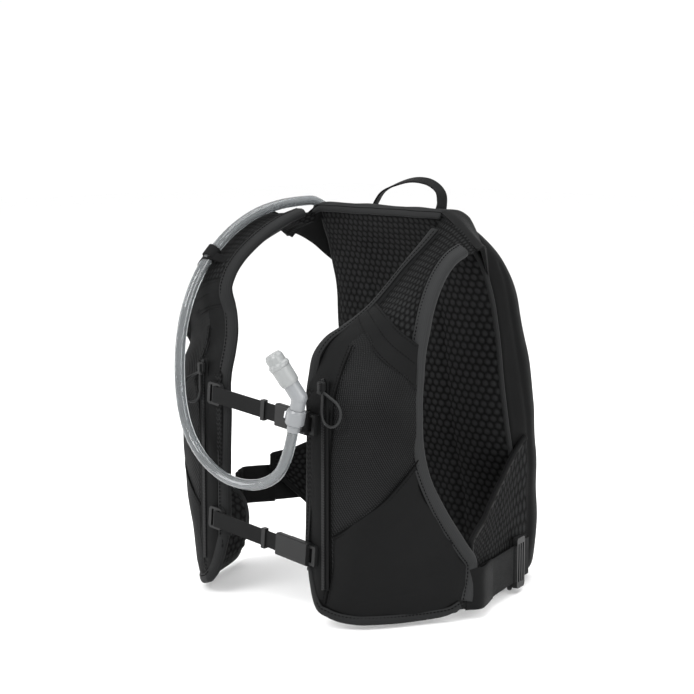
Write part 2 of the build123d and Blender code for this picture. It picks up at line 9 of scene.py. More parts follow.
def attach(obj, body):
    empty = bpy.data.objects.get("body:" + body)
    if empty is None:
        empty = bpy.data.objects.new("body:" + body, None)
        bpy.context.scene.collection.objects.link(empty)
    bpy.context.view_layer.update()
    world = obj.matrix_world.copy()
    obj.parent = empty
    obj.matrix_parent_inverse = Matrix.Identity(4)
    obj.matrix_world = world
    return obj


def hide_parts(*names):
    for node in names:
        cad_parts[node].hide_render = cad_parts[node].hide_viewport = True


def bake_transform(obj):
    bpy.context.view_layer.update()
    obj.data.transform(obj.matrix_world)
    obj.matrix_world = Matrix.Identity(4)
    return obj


# Looks of the running hydration pack. Points below are in millimetres in the frame that the CAD
# source draws in; to_world() moves them to the row frame in metres.
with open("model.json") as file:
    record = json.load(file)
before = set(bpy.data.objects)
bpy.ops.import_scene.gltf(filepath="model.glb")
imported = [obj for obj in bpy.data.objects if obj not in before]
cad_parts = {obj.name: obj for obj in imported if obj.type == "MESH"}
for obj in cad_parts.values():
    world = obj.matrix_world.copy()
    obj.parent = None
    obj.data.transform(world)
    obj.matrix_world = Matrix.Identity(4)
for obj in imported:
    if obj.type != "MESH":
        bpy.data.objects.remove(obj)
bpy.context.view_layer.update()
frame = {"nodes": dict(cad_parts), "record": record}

MIDDLE_Y = 31.0
SEED = 7


def to_world(points):
    p = np.array(points, float).reshape(-1, 3) - (0.0, MIDDLE_Y, 0.0)
    return p * 0.001


# ---------------------------------------------------------------- camera and light
scene = bpy.context.scene
AIM = Vector((0.0, -0.031, 0.248))
AZIMUTH, ELEVATION, DISTANCE = math.radians(45), math.radians(8), 1.8
back = Vector((
    math.sin(AZIMUTH) * math.cos(ELEVATION),
    -math.cos(AZIMUTH) * math.cos(ELEVATION),
    math.sin(ELEVATION),
))
cam = bpy.data.objects.new("camera", bpy.data.cameras.new("camera"))
scene.collection.objects.link(cam)
cam.location = AIM + back * DISTANCE
cam.rotation_euler = back.to_track_quat("Z", "Y").to_euler()
cam.data.lens = 93.4
cam.data.sensor_width = 36.0
cam.data.dof.use_dof = False
cam.data.clip_start = 0.05
scene.camera = cam


def softbox(name, location, aim, size, power):
    """A soft area light that looks at a point."""
    data = bpy.data.lights.new(name, "AREA")
    data.shape = "RECTANGLE"
    data.size, data.size_y = size
    data.energy = power
    lamp = bpy.data.objects.new(name, data)
    scene.collection.objects.link(lamp)
    lamp.location = location
    way = Vector(location) - Vector(aim)
    lamp.rotation_euler = way.to_track_quat("Z", "Y").to_euler()


MID = (0, 0, 0.2)
softbox("key", (0.2, -1.9, 1.7), MID, (1.2, 1.0), 34)
softbox("fill", (2.0, -0.2, 0.9), MID, (1.2, 1.4), 22)
softbox("left_rim", (-1.6, -1.3, 0.8), MID, (0.6, 1.4), 14)
softbox("top", (0.1, 0.2, 1.9), MID, (1.4, 1.4), 22)

world = bpy.data.worlds.new("world")
world.use_nodes = True
world.node_tree.nodes["Background"].inputs[0].default_value = (1, 1, 1, 1)
world.node_tree.nodes["Background"].inputs[1].default_value = 1.02
scene.world = world
scene.view_settings.view_transform = "Standard"

# ---------------------------------------------------------------- node helpers


def sock(tree, value, target):
    """Links a socket to an input, or sets a plain value there."""
    if hasattr(value, "links"):
        tree.links.new(value, target)
    else:
        target.default_value = value


def op(tree, kind, *values, clamp=False):
    node = tree.nodes.new("ShaderNodeMath")
    node.operation = kind
    node.use_clamp = clamp
    for value, target in zip(values, node.inputs):
        sock(tree, value, target)
    return node.outputs[0]


def mapped(tree, value, low, high):
    """A smooth step from 0 at the low value to 1 at the high one."""
    node = tree.nodes.new("ShaderNodeMapRange")
    node.interpolation_type = "SMOOTHSTEP"
    for v, target in zip((value, low, high, 0.0, 1.0), node.inputs):
        sock(tree, v, target)
    return node.outputs[0]


def uv_axes(tree):
    """U and V of the piece in millimetres."""
    coord = tree.nodes.new("ShaderNodeUVMap")
    split = tree.nodes.new("ShaderNodeSeparateXYZ")
    tree.links.new(coord.outputs[0], split.inputs[0])
    return split.outputs[0], split.outputs[1]


def noise_tex(tree, scale, detail=2.0):
    coord = tree.nodes.new("ShaderNodeTexCoord")
    node = tree.nodes.new("ShaderNodeTexNoise")
    tree.links.new(coord.outputs["Object"], node.inputs["Vector"])
    node.inputs["Scale"].default_value = scale
    node.inputs["Detail"].default_value = detail
    return node.outputs[0]


def wave(tree, axis, pitch):
    """Even ribs across one axis, from 0 to 1."""
    turned = op(tree, "MULTIPLY_ADD", axis, 2 * math.pi / pitch, 0.0)
    return op(tree, "MULTIPLY_ADD", op(tree, "SINE", turned), 0.5, 0.5)


def weave(tree, u, v, pitch):
    """A plain weave, from 0 to 1."""
    a = op(tree, "SINE", op(tree, "MULTIPLY", u, 2 * math.pi / pitch))
    b = op(tree, "SINE", op(tree, "MULTIPLY", v, 2 * math.pi / pitch))
    return op(tree, "MULTIPLY_ADD", op(tree, "MULTIPLY", a, b), 0.5, 0.5)


def slanted(tree, u, v, angle):
    c, s = math.cos(math.radians(angle)), math.sin(math.radians(angle))
    return op(tree, "ADD", op(tree, "MULTIPLY", u, c), op(tree, "MULTIPLY", v, s))


def hexagons(tree, u, v, pitch):
    """Distance to the nearest point of a hexagonal lattice, in parts of its pitch."""
    near = []
    root = math.sqrt(3)
    for shift in (0.0, 0.5):
        px = op(tree, "MULTIPLY_ADD", u, 1 / pitch, shift + 50)
        py = op(tree, "MULTIPLY_ADD", v, 1 / pitch / root, shift + 50)
        qx = op(tree, "SUBTRACT", op(tree, "FRACT", px), 0.5)
        qy = op(tree, "MULTIPLY", op(tree, "SUBTRACT", op(tree, "FRACT", py), 0.5), root)
        square = op(tree, "MULTIPLY_ADD", qx, qx, op(tree, "MULTIPLY", qy, qy))
        near.append(op(tree, "SQRT", square))
    return op(tree, "MINIMUM", *near)


class Look:
    """A principled material whose colour, roughness and relief come from a pattern height."""

    def __init__(self, name, low, high, rough, sheen=0.0, relief=0.0):
        self.mat = bpy.data.materials.new(name)
        self.mat.use_nodes = True
        self.tree = self.mat.node_tree
        self.shader = self.tree.nodes["Principled BSDF"]
        self.low, self.high, self.rough, self.relief = low, high, rough, relief
        self.shader.inputs["Sheen Weight"].default_value = sheen * 0.04
        self.shader.inputs["Sheen Roughness"].default_value = 0.5
        self.shader.inputs["Specular IOR Level"].default_value = 0.05

    def finish(self, height, fine=None):
        """Colours and raises the cloth by a pattern's height, with broad stains and fine grain."""
        tree, shader = self.tree, self.shader
        stain = noise_tex(tree, 9.0, 3.0)
        share = op(tree, "MULTIPLY_ADD", stain, 0.5, op(tree, "MULTIPLY_ADD", height, 0.75, -0.12),
                   clamp=True)
        ramp = tree.nodes.new("ShaderNodeMix")
        ramp.data_type = "RGBA"
        tree.links.new(share, ramp.inputs[0])
        ramp.inputs[6].default_value = (*self.low, 1)
        ramp.inputs[7].default_value = (*self.high, 1)
        tree.links.new(ramp.outputs[2], shader.inputs["Base Color"])
        grain = noise_tex(tree, 60.0, 3.0)
        tree.links.new(op(tree, "MULTIPLY_ADD", grain, 0.16, self.rough - 0.08),
                       shader.inputs["Roughness"])
        bump = tree.nodes.new("ShaderNodeBump")
        bump.inputs["Distance"].default_value = self.relief * 0.001
        bump.inputs["Strength"].default_value = 1.0
        relief = height if fine is None else op(tree, "MULTIPLY_ADD", fine, 0.25, height)
        tree.links.new(relief, bump.inputs["Height"])
        tree.links.new(bump.outputs[0], shader.inputs["Normal"])
        return self.mat


def grey(v, cool=1.02):
    """A near neutral grey, darkened to the level of dyed black cloth."""
    return (v * 0.40, v * 0.41, v * 0.41 * cool)


def woven_look(name, low, high, pitch, rough=0.75, sheen=0.15, relief=0.15):
    look = Look(name, grey(low), grey(high), rough, sheen, relief)
    u, v = uv_axes(look.tree)
    return look.finish(weave(look.tree, u, v, pitch), noise_tex(look.tree, 700.0))


def air_mesh_look(name, pitch, relief):
    """Puffed hexagonal spacer mesh with fine pores."""
    look = Look(name, grey(0.002), grey(0.056), 0.85, 0.25, relief)
    u, v = uv_axes(look.tree)
    cell = hexagons(look.tree, u, v, pitch)
    puff = mapped(look.tree, cell, 0.52, 0.16)
    pores = hexagons(look.tree, u, v, 1.25)
    return look.finish(puff, mapped(look.tree, pores, 0.5, 0.25))


def knit_look(name, angle, pitch, low, high, relief=0.35, sheen=0.3):
    """Stretch knit: fine slanted ribs crossed by finer ones."""
    look = Look(name, grey(low), grey(high), 0.7, sheen, relief)
    u, v = uv_axes(look.tree)
    ribs = wave(look.tree, slanted(look.tree, u, v, angle), pitch)
    cross = wave(look.tree, slanted(look.tree, u, v, angle + 78), pitch * 0.6)
    height = op(look.tree, "MULTIPLY", ribs, op(look.tree, "MULTIPLY_ADD", cross, 0.6, 0.4))
    return look.finish(height, noise_tex(look.tree, 500.0))


def web_look(name, low=0.012, high=0.04, pitch=1.6):
    """Webbing: chevrons along the length."""
    look = Look(name, grey(low), grey(high), 0.62, 0.2, 0.3)
    u, v = uv_axes(look.tree)
    fold = op(look.tree, "PINGPONG", op(look.tree, "ADD", v, 50.0), 2.2)
    chevron = wave(look.tree, op(look.tree, "ADD", u, fold), pitch)
    return look.finish(chevron, noise_tex(look.tree, 600.0))


def tape_look(name, low, high, pitch=0.9):
    """Binding tape: fine ribs across the tape."""
    look = Look(name, grey(low), grey(high), 0.6, 0.25, 0.12)
    u, v = uv_axes(look.tree)
    ribs = wave(look.tree, u, pitch)
    across = wave(look.tree, v, 1.7)
    height = op(look.tree, "MULTIPLY_ADD", ribs, 0.6, op(look.tree, "MULTIPLY", across, 0.3))
    return look.finish(height)


def plastic_look(name, value, rough=0.42, coat=0.0):
    """Moulded plastic with a fine grain."""
    look = Look(name, grey(value * 0.8), grey(value * 1.25), rough, 0.0, 0.03)
    look.shader.inputs["Coat Weight"].default_value = coat
    look.shader.inputs["Specular IOR Level"].default_value = 0.2
    return look.finish(noise_tex(look.tree, 260.0, 4.0))


def clear_look(name, tint, rough, transmission, ior=1.42, coat=0.3):
    """Translucent plastic or rubber, clearer with more transmission."""
    mat = bpy.data.materials.new(name)
    mat.use_nodes = True
    tree = mat.node_tree
    shader = tree.nodes["Principled BSDF"]
    shader.inputs["Base Color"].default_value = (*tint, 1)
    shader.inputs["Transmission Weight"].default_value = transmission
    shader.inputs["IOR"].default_value = ior
    shader.inputs["Coat Weight"].default_value = coat
    shader.inputs["Coat Roughness"].default_value = 0.12
    grain = noise_tex(tree, 90.0, 3.0)
    tree.links.new(op(tree, "MULTIPLY_ADD", grain, 0.12, rough - 0.06), shader.inputs["Roughness"])
    bump = tree.nodes.new("ShaderNodeBump")
    bump.inputs["Distance"].default_value = 0.0001
    tree.links.new(grain, bump.inputs["Height"])
    tree.links.new(bump.outputs[0], shader.inputs["Normal"])
    return mat


AIR_MESH = air_mesh_look("air_mesh", 8.0, 2.4)
WIDE_MESH = air_mesh_look("back_air_mesh", 8.4, 2.4)
STRETCH = knit_look("stretch_mesh", 38, 3.0, 0.001, 0.052, 0.6)
SMOOTH = woven_look("shell_fabric", 0.008, 0.018, 0.8, rough=0.6, relief=0.06)
RIPSTOP = woven_look("bag_fabric", 0.004, 0.013, 1.1, rough=0.6, relief=0.1)
TAPE = tape_look("binding_tape", 0.020, 0.052)
ARM_TAPE = tape_look("armhole_tape", 0.034, 0.070)
WEB = web_look("webbing", 0.006, 0.028)
RAIL_WEB = web_look("rail_webbing", 0.002, 0.030, 4.6)
# Dark thread look for stitches and seams; also laid as the thin painted shadow strips beside the
# bindings.
THREAD_AND_SHADOW = woven_look("thread", 0.001, 0.004, 0.6, relief=0.1)
PLASTIC = plastic_look("black_plastic", 0.020)
ZIP_PLASTIC = plastic_look("zip_plastic", 0.026, 0.35)
PULL = plastic_look("pull_cord", 0.03, 0.5)
WHITE = plastic_look("white_plastic", 1.5, 0.35)
RUBBER = clear_look("soft_rubber", (0.27, 0.28, 0.28), 0.45, 0.3)
FROSTED = clear_look("frosted_plastic", (0.24, 0.25, 0.26), 0.3, 0.35)
HOSE = clear_look("clear_hose", (0.72, 0.75, 0.76), 0.08, 0.92, 1.36, 0.15)
BORE = clear_look("hose_bore", (0.20, 0.21, 0.22), 0.25, 0.6, 1.2, 0.0)
FILM = clear_look("clear_film", (0.7, 0.8, 0.85), 0.3, 0.6)

# ---------------------------------------------------------------- mesh helpers


def spline(points, count):
    """Evenly spaced points on a smooth curve through the given points."""
    p = np.array(points, float)
    if len(p) == 2:
        t = np.linspace(0, 1, count)[:, None]
        return p[0] * (1 - t) + p[1] * t
    p = np.vstack([2 * p[0] - p[1], p, 2 * p[-1] - p[-2]])
    fine = []
    t = np.linspace(0, 1, 24, endpoint=False)[:, None]
    for a, b, c, d in zip(p, p[1:], p[2:], p[3:]):
        fine.append(0.5 * (2 * b + (c - a) * t + (2 * a - 5 * b + 4 * c - d) * t**2
                           + (3 * b - a - 3 * c + d) * t**3))
    fine = np.vstack(fine + [p[-2][None]])
    run = np.concatenate([[0], np.cumsum(np.linalg.norm(np.diff(fine, axis=0), axis=1))])
    at = np.linspace(0, run[-1], count)
    return np.stack([np.interp(at, run, fine[:, k]) for k in range(fine.shape[1])], axis=1)


def loft(rows, count):
    """A smooth grid through a stack of rows."""
    rows = np.array(rows)
    return np.array([spline(rows[:, i], count) for i in range(rows.shape[1])]).transpose(1, 0, 2)


def unit(v):
    return v / np.maximum(np.linalg.norm(v, axis=-1, keepdims=True), 1e-9)


def grid_normals(grid):
    du = np.gradient(grid, axis=1)
    dv = np.gradient(grid, axis=0)
    return unit(np.cross(du, dv))


def grid_uv(grid):
    du = np.linalg.norm(np.diff(grid, axis=1), axis=2).mean(0)
    dv = np.linalg.norm(np.diff(grid, axis=0), axis=2).mean(1)
    u = np.concatenate([[0], np.cumsum(du)])
    v = np.concatenate([[0], np.cumsum(dv)])
    return np.stack(np.broadcast_arrays(u[None, :], v[:, None]), axis=2)


def build(name, verts, faces, uv, mat, body="pack", smooth=True):
    """A mesh piece from points and UV in millimetres; it rides on a body, unless that is None."""
    mesh = bpy.data.meshes.new(name)
    mesh.from_pydata(to_world(verts).tolist(), [], [list(f) for f in faces])
    layer = mesh.uv_layers.new(name="UVMap")
    index = np.zeros(len(mesh.loops), dtype=np.int64)
    mesh.loops.foreach_get("vertex_index", index)
    layer.data.foreach_set("uv", np.asarray(uv, float)[index].ravel())
    mesh.materials.append(mat)
    mesh.polygons.foreach_set("use_smooth", [smooth] * len(mesh.polygons))
    mesh.update()
    obj = bpy.data.objects.new(name, mesh)
    scene.collection.objects.link(obj)
    if body:
        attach(obj, body)
    return obj


def quads(nv, nu, base=0, flip=False):
    i = np.arange(nv - 1)[:, None] * nu + np.arange(nu - 1)[None, :] + base
    q = np.stack([i, i + 1, i + nu + 1, i + nu], axis=2).reshape(-1, 4)
    return q[:, ::-1] if flip else q


def shell(name, grid, out, inn, mat, body="pack", closed=False):
    """A solid skin: the grid moved out by one depth and in by another, with its rim closed."""
    nv, nu = grid.shape[:2]
    n = grid_normals(grid)
    out = np.broadcast_to(out, (nv, nu))[..., None]
    inn = np.broadcast_to(inn, (nv, nu))[..., None]
    verts = np.vstack([(grid + n * out).reshape(-1, 3), (grid - n * inn).reshape(-1, 3)])
    flat = grid_uv(grid).reshape(-1, 2)
    half = nv * nu
    faces = [quads(nv, nu), quads(nv, nu, half, True)]
    top, low = np.arange(nu), np.arange(nu) + (nv - 1) * nu
    rims = [top[::-1], low]
    if not closed:
        left, right = np.arange(nv) * nu, np.arange(nv) * nu + nu - 1
        rims += [left, right[::-1]]
    for edge in rims:
        a, b = edge[:-1], edge[1:]
        faces.append(np.stack([b, a, a + half, b + half], axis=1))
    return build(name, verts, np.vstack(faces), np.vstack([flat, flat]), mat, body)


def sweep(name, path, normals, profile, mat, body="pack"):
    """A strip along a path: profile points are (sideways, along the normal)."""
    path, normals = np.asarray(path, float), np.asarray(normals, float)
    count, k = len(path), len(profile)
    tangent = unit(np.gradient(path, axis=0))
    side = unit(np.cross(tangent, normals))
    up = unit(np.cross(side, tangent))
    prof = np.array(profile, float)
    verts = (path[:, None] + side[:, None] * prof[None, :, :1] + up[:, None] * prof[None, :, 1:])
    run = np.concatenate([[0], np.cumsum(np.linalg.norm(np.diff(path, axis=0), axis=1))])
    uv = np.stack(np.broadcast_arrays(run[:, None], prof[None, :, 0]), axis=2)
    faces = []
    j = np.arange(k)
    for i in range(count - 1):
        a, b = i * k + j, (i + 1) * k + j
        faces.append(np.stack([a, np.roll(a, -1), np.roll(b, -1), b], axis=1))
    faces = [list(f) for f in np.vstack(faces)]
    faces += [list(range(k))[::-1], [(count - 1) * k + x for x in range(k)]]
    return build(name, verts.reshape(-1, 3), faces, uv.reshape(-1, 2), mat, body)


def steady(way, count):
    """The same normal all along a path."""
    return np.repeat([way], count, 0)


def flat_profile(width, thick, bevel=0.5):
    """A thin rounded strip standing on its path."""
    w, b = width / 2, min(bevel, thick / 2)
    across = np.linspace(-w + b, w - b, 7)
    low = [(x, 0.0) for x in across]
    high = [(x, thick) for x in across[::-1]]
    return low + [(w, b), (w, thick - b)] + high + [(-w, thick - b), (-w, b)]


def capsule_profile(low, high, half, steps=6):
    """A fold of tape round an edge: flat faces and a round nose on the high side."""
    nose = [(high - half + half * math.sin(a), -half * math.cos(a))
            for a in np.linspace(0, math.pi, steps)]
    return [(low, -half)] + nose + [(low, half)]


def round_profile(radius, steps=12):
    return [(radius * math.cos(a), radius * math.sin(a))
            for a in np.linspace(0, 2 * math.pi, steps, endpoint=False)]


def stitches(name, path, normals, pitch=3.2, length=2.2, radius=0.28):
    """Short threads lying on a seam."""
    path, normals = np.asarray(path, float), np.asarray(normals, float)
    run = np.concatenate([[0], np.cumsum(np.linalg.norm(np.diff(path, axis=0), axis=1))])
    starts = np.arange(1.0, run[-1] - length, pitch)
    verts, faces, uv = [], [], []
    ring = [(math.cos(a), math.sin(a)) for a in np.linspace(0, 2 * math.pi, 6, endpoint=False)]
    for s in starts:
        ends = [np.array([np.interp(x, run, path[:, k]) for k in range(3)])
                for x in (s, s + length / 2, s + length)]
        n = unit(np.array([np.interp(s, run, normals[:, k]) for k in range(3)]))
        t = unit(ends[2] - ends[0])
        side = unit(np.cross(t, n))
        base = len(verts)
        for c, grow, rise in ((ends[0], 0.5, -0.05), (ends[1], 1.0, 0.2), (ends[2], 0.5, -0.05)):
            for a, b in ring:
                verts.append(c + side * a * radius * grow + n * (b * radius * grow + rise))
                uv.append((s, a))
        for k in (0, 6):
            for j in range(6):
                faces.append((base + k + j, base + k + (j + 1) % 6,
                              base + k + 6 + (j + 1) % 6, base + k + 6 + j))
        faces.append(tuple(base + j for j in range(6))[::-1])
        faces.append(tuple(base + 12 + j for j in range(6)))
    return build(name, verts, faces, uv, THREAD_AND_SHADOW)


def crumple(grid, n, size, scale, seed=0.0):
    """Moves a grid along its normals by smooth noise."""
    flat = grid.reshape(-1, 3)
    lift = np.array([noise.noise(Vector(p) / scale + Vector((seed, SEED, -seed))) for p in flat])
    return grid + n * (lift * size).reshape(grid.shape[:2])[..., None]


def crease(grid, n, line, depth, width):
    """Presses a grid in along a seam line."""
    flat = grid.reshape(-1, 3)
    near = np.full(len(flat), 1e9)
    for p in spline(line, 160):
        near = np.minimum(near, ((flat - p) ** 2).sum(1))
    dent = depth * np.exp(-near / width**2)
    return grid - n * dent.reshape(grid.shape[:2])[..., None]


# ---------------------------------------------------------------- harness surface
# In these tables x is the distance from the middle. Each panel row has its height and the plan
# points (x, y) of its fullest place and of its armhole edge; both panels have the same rows.
PANEL = [
    (0, (118, -86), (160, 2)), (20, (120, -86), (165, 4)), (55, (125, -88), (165, 10)),
    (80, (131, -90), (165, -8)), (115, (136, -94), (163, -34)), (150, (139, -97), (161, -54)),
    (185, (141, -98), (159, -61)), (204, (141, -98), (158.5, -61)), (222, (141, -98), (158, -61)),
]
# Each shoulder row has its neck edge, its armhole edge and the way that its face looks.
LEFT_SHOULDER = [
    ((58.5, -99, 262), (153, -52, 264), (0.25, -0.95, 0.1)),
    ((65, -74, 279), (150, -42, 288), (0.3, -0.8, 0.5)),
    ((71, -46, 295), (147, -32, 308), (0.2, -0.7, 0.7)),
    ((75, -22, 315), (143, -16, 326), (0.1, -0.68, 0.75)),
    ((79, 0, 337), (140, 0, 339), (0.1, -0.66, 0.78)),
    ((84, 23, 360), (137, 20, 347), (0.3, -0.5, 0.85)),
    ((88, 42, 381), (133, 44, 351), (0.45, -0.1, 0.85)),
]
RIGHT_SHOULDER = [
    ((55, -100, 262), (156, -72, 258), (0.2, -0.98, 0.0)),
    ((61, -95, 288), (150, -82, 283), (0.1, -0.98, 0.15)),
    ((68, -95, 310), (146, -78, 305), (0.05, -0.85, 0.5)),
    ((73, -78, 332), (142, -62, 330), (0.0, -0.65, 0.75)),
    ((77, -49, 351), (139, -40, 352), (-0.05, -0.4, 0.9)),
    ((80, -16, 366), (137, -12, 368), (-0.08, -0.2, 0.97)),
    ((84, 14, 376), (135, 16, 370), (0.0, -0.1, 1.0)),
    ((88, 42, 381), (133, 44, 351), (0.45, -0.1, 0.85)),
]
NU, NW = 90, 300                  # grid points across and along one side
STRAP_CROWN = 0.09                # how far a strap is crowned, in parts of its width


def shoulder_row(neck, arm, outward):
    """Seven points across a strap, on a low arch."""
    neck, arm = np.array(neck, float), np.array(arm, float)
    x = unit(arm - neck)
    out = np.array(outward, float)
    out = unit(out - x * out.dot(x))
    length = np.linalg.norm(arm - neck)
    steps = np.linspace(0, 1, 7)
    return [neck + x * s * length + out * 4 * STRAP_CROWN * length * s * (1 - s) for s in steps]


def panel_row(height, bulge, rim):
    """Points across the front panel at one height, from its front edge to the armhole."""
    front = [(56, -108.5), (64, -112), (85, -113.5), bulge, rim]
    return [(x, y, height) for x, y in front]


class Harness:
    """One side of the harness: a dense grid of its outer face, read by u and station."""

    def __init__(self, side, shoulder):
        self.side = side
        rows = [spline(panel_row(*row), NU) for row in PANEL]
        rows += [spline(shoulder_row(*row), NU) for row in shoulder]
        dense = loft(rows, NW)
        if side < 0:
            dense = dense * (-1, 1, 1)
        self.grid = dense
        n = grid_normals(dense)
        self.n = n if side > 0 else -n

    def at(self, u, w):
        """Point and outward normal at a share u across and a share w along."""
        u = np.clip(np.asarray(u, float) * (NU - 1), 0, NU - 1.001)
        w = np.clip(np.asarray(w, float) * (NW - 1), 0, NW - 1.001)
        i, j = u.astype(int), w.astype(int)
        a, b = (u - i)[..., None], (w - j)[..., None]
        out = []
        for g in (self.grid, self.n):
            out.append((g[j, i] * (1 - a) + g[j, i + 1] * a) * (1 - b)
                       + (g[j + 1, i] * (1 - a) + g[j + 1, i + 1] * a) * b)
        return out[0], unit(out[1])

    def level(self, u, z):
        """The share along at which column u reaches height z, below the shoulder."""
        u = np.atleast_1d(np.asarray(u, float))
        z = np.broadcast_to(z, u.shape)
        cols = np.clip((u * (NU - 1)).round().astype(int), 0, NU - 1)
        share = np.linspace(0, 1, NW)
        return np.array([np.interp(h, self.grid[:, c, 2], share) for c, h in zip(cols, z)])

    def line(self, neck, arm):
        """Share along as a function of u, from a point on the neck edge to one on the armhole."""
        w = [np.argmin(((self.grid[:, c] - (p[0] * self.side, *p[1:])) ** 2).sum(1)) / (NW - 1)
             for c, p in ((0, neck), (NU - 1, arm))]
        return lambda u: w[0] + (w[1] - w[0]) * np.asarray(u)

    def across(self, x, w=0.25):
        """The share across at which the panel has that distance from the middle."""
        row = abs(self.grid[int(w * (NW - 1)), :, 0])
        return float(np.interp(x, row, np.linspace(0, 1, NU)))

    def patch(self, u0, u1, w0, w1, nu, nv):
        """Grid between two lines across and two lines along; each is a number or a function."""
        b = np.linspace(0, 1, nv)[:, None] * np.ones(nu)
        a = np.linspace(0, 1, nu)[None, :] * np.ones((nv, 1))
        ua = u0(b) if callable(u0) else u0
        ub = u1(b) if callable(u1) else u1
        u = ua + (ub - ua) * a
        wa = w0(u) if callable(w0) else w0
        wb = w1(u) if callable(w1) else w1
        return self.at(u, wa + (wb - wa) * b)

    def oriented(self, grid):
        """The grid with its columns ordered so that its normals look outward."""
        return grid if self.side > 0 else grid[:, ::-1]


# The rounded foot of a panel: shares across, and the heights of its edge there.
FOOT_U = (0.0, 0.05, 0.12, 0.22, 0.35, 0.6, 0.8, 0.92, 1.0)
FOOT_Z = (70.0, 36.0, 17.0, 9.0, 5.5, 4.5, 5.5, 9.0, 24.0)
SEAM_X = 104.0                    # the upright seam's distance from the middle, at its middle
LOW_SHARE = 0.33                  # where along the upright seam the slanted one starts
SLANT_Z = (90.0, 177.0)           # heights of the slanted seam's two ends
TAPE_HALF = 4.8                   # half thickness of an edge with its binding
PAD_WIDE, PAD_LONG = 105, 480     # about a pad's size laid flat
SEAM_PROFILE = flat_profile(1.5, 0.5, 0.2)


def side_name(side):
    return "left" if side > 0 else "right"


class Cut:
    """Where the cloths of one harness side end, as shares along or across it."""

    def __init__(self, h):
        self.h, self.name = h, side_name(h.side)
        self.u_seam = h.across(SEAM_X)
        if h.side > 0:
            self.pocket_top = h.line((69.5, -53, 288), (158, -61, 224))
            self.patch_top = h.line((73, -35, 304), (153, -52, 266))
        else:
            self.pocket_top = h.line((62, -95, 292), (155, -76, 262))
            self.patch_top = h.line((70, -90, 318), (149, -80, 288))
        self.u_low = self.strip_edge(LOW_SHARE)

    def foot(self, u):
        """The panel's foot, as a share along."""
        flat = np.asarray(u)
        height = np.interp(flat.ravel(), FOOT_U, FOOT_Z)
        return self.h.level(flat.ravel(), height).reshape(flat.shape)

    def above_foot(self, u):
        """The line on which the smooth cloths start, clear of the foot's binding."""
        return self.foot(u) + 0.014

    def strip_edge(self, b):
        """The upright seam's share across, from its foot at 0 to its top at 1."""
        return self.u_seam - 0.15 + 0.2 * np.asarray(b)

    def slant(self, u):
        """The slanted seam between the knit and the smooth lower pocket."""
        flat = np.asarray(u)
        z = np.interp(flat, (self.u_low, 1.0), SLANT_Z) - 6 * np.sin(3.14 * (flat - self.u_low))
        return self.h.level(flat.ravel(), z.ravel()).reshape(flat.shape)


def pad_piece(cut):
    """Foam pad with mesh on both faces, thin at its bound edges."""
    h, name = cut.h, cut.name
    grid, n = h.patch(0.0, 1.0, cut.foot, 1.0, 90, 300)
    edge_u = np.minimum(np.linspace(0, 1, 90), np.linspace(1, 0, 90))[None, :] * PAD_WIDE
    edge_v = (np.linspace(0, 1, 300) * PAD_LONG)[:, None]
    soft = np.clip(np.minimum(edge_u, edge_v) / 16.0, 0, 1)
    soft = soft * soft * (3 - 2 * soft)
    skin = h.oriented(crumple(grid, n, 1.4, 34.0, 2.0 * h.side) - n * 1.2)
    depth = h.oriented((2.2 + 9.5 * soft)[..., None])[..., 0]
    pad = shell(f"{name}_pad", skin, -1.0, depth, AIR_MESH)
    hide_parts(f"{name}_harness_pad")


def knit_pocket(cut):
    """Stretch pocket over the panel, from the upright seam to the armhole."""
    h, name = cut.h, cut.name
    grid, n = h.patch(lambda b: cut.strip_edge(b) - 0.03, 0.95, cut.foot,
                      lambda u: cut.pocket_top(u) + 0.012, 110, 240)
    grid = crumple(grid, n, 1.8, 26.0, 5.0 * h.side)
    pocket = shell(f"{name}_pocket", h.oriented(grid + n * 0.4), 0.6, 0.6, STRETCH)
    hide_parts(f"{name}_front_pocket")


def lower_pocket(cut):
    """Smooth swollen pocket under the slanted seam."""
    h = cut.h
    grid, n = h.patch(lambda b: cut.strip_edge(LOW_SHARE * b) + 0.004, 0.945, cut.above_foot,
                      cut.slant, 90, 110)
    rim_v = np.minimum(np.linspace(0, 1, 110), np.linspace(1, 0, 110))[:, None]
    rim_u = np.minimum(np.linspace(0, 1, 90), np.linspace(1, 0, 90))[None, :]
    swell = np.clip(np.minimum(rim_v * 5, rim_u * 6), 0, 1) ** 0.6
    grid = crumple(grid + n * (1.2 + 2.6 * swell)[..., None], n, 1.6, 34.0, 9.0 * h.side)
    shell(f"{cut.name}_lower_pocket", h.oriented(grid), 0.6, 0.6, SMOOTH)


def front_strip(cut):
    """Smooth strip beside the breastbone, which carries the rail and the zip."""
    h = cut.h
    grid, n = h.patch(0.05, cut.strip_edge, cut.above_foot, cut.pocket_top, 40, 200)
    grid = crumple(grid, n, 0.7, 22.0, 3.0)
    shell(f"{cut.name}_front_strip", h.oriented(grid + n * 0.9), 0.5, 0.8, SMOOTH)


def strap_patch(cut):
    """Smooth patch between the pocket and the strap, with three rows of stitches."""
    h, low, high = cut.h, cut.pocket_top, cut.patch_top
    grid, n = h.patch(0.06, 0.94, low, high, 80, 50)
    grid = crumple(grid, n, 0.8, 20.0, 4.0)
    shell(f"{cut.name}_strap_patch", h.oriented(grid + n * 1.2), 0.5, 0.8, SMOOTH)
    us = np.linspace(0.07, 0.93, 60)
    for k, ws in enumerate((low(us) + 0.006, 0.45 * low(us) + 0.55 * high(us), high(us) - 0.006)):
        p, m = h.at(us, ws)
        stitches(f"{cut.name}_patch_stitch_{k}", p + m * 1.9, m)


